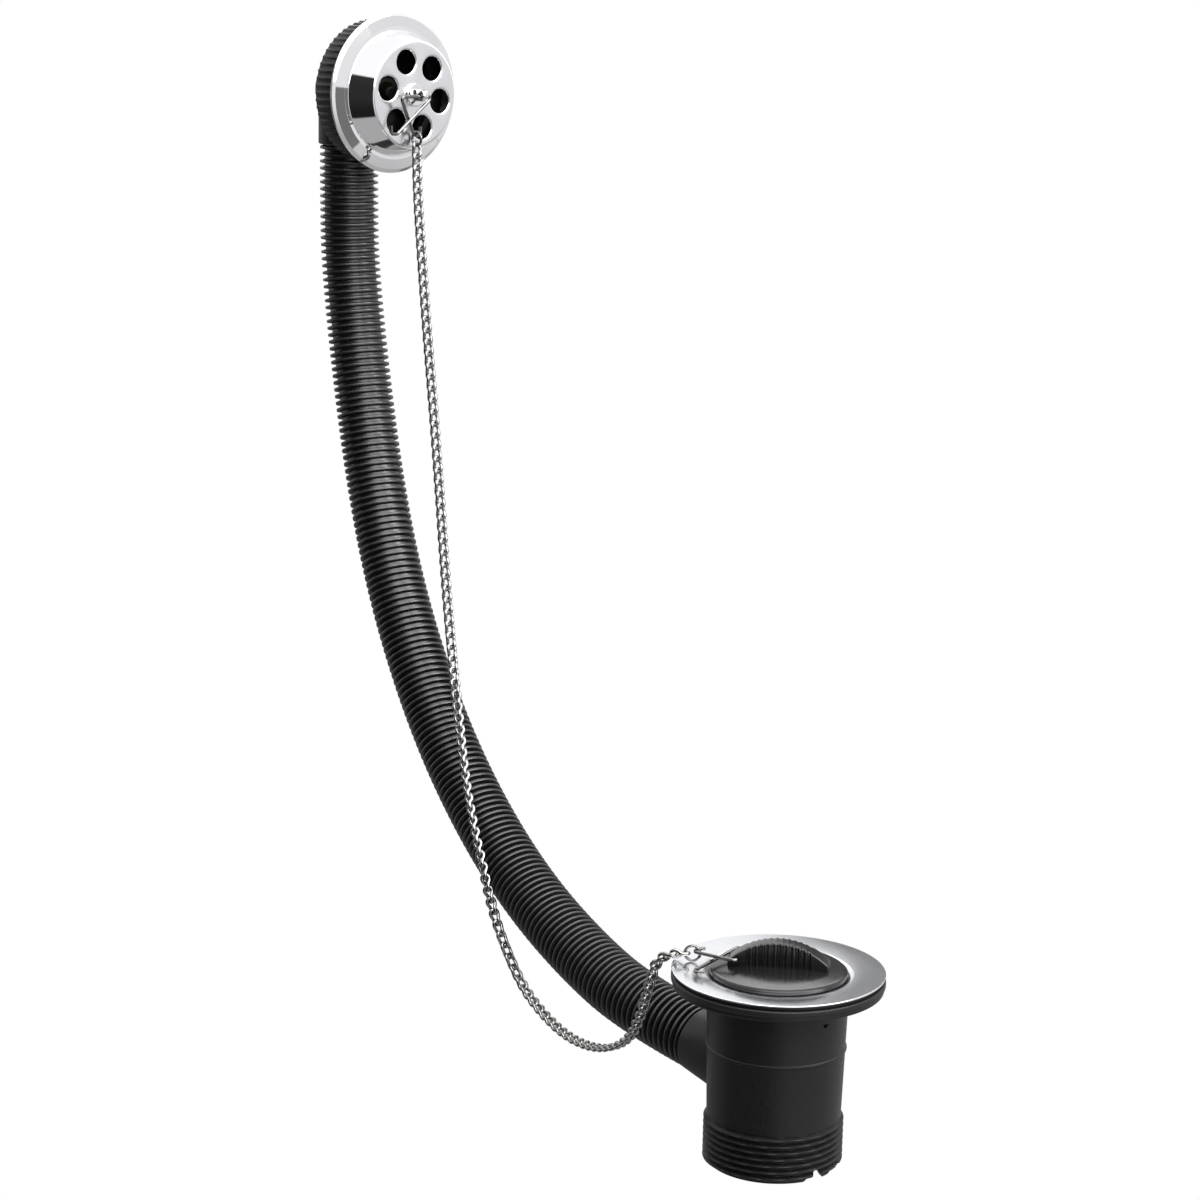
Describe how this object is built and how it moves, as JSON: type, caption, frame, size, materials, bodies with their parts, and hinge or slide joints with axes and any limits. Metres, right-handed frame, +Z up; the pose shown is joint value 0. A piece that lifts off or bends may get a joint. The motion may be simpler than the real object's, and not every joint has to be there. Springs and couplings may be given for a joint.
{
  "type": "bath waste and overflow",
  "caption": "Bath waste with a chrome flange and a rubber plug on a chain, joined by a black corrugated hose to a chrome overflow rose.",
  "frame": {"origin": "on the waste's axis, in the plane of the chrome flange's rim", "axes": "+Z up along the waste's axis, +X the way the overflow rose faces"},
  "size_m": [0.3282, 0.1038, 0.3752],
  "materials": {
    "rose_chrome": "polished chrome plate",
    "flange_chrome": "satin chrome plate",
    "stay_chrome": "polished chrome plate",
    "wire_steel": "bright plated steel wire",
    "chain_steel": "bright plated steel wire",
    "brass": "turned brass",
    "screw_steel": "stainless steel",
    "body_plastic": "moulded black polypropylene",
    "hose_plastic": "blow-moulded black polyethylene",
    "washer_rubber": "black rubber",
    "plug_rubber": "dark grey rubber"
  },
  "bodies": {
    "root": {"waste_flange": "flange_chrome", "flange_seal": "washer_rubber", "body_washer": "washer_rubber", "waste_body": "body_plastic", "body_insert": "brass", "flange_screw": "screw_steel", "plug": "plug_rubber", "plug_clip": "wire_steel", "plug_ring": "wire_steel", "chain": "chain_steel", "rose_ring": "wire_steel", "rose_clip": "wire_steel", "overflow_rose": "rose_chrome", "chain_stay": "stay_chrome", "stay_insert": "brass", "overflow_washer": "washer_rubber", "overflow_elbow": "body_plastic", "overflow_hose": "hose_plastic"}
  },
  "joints": []
}
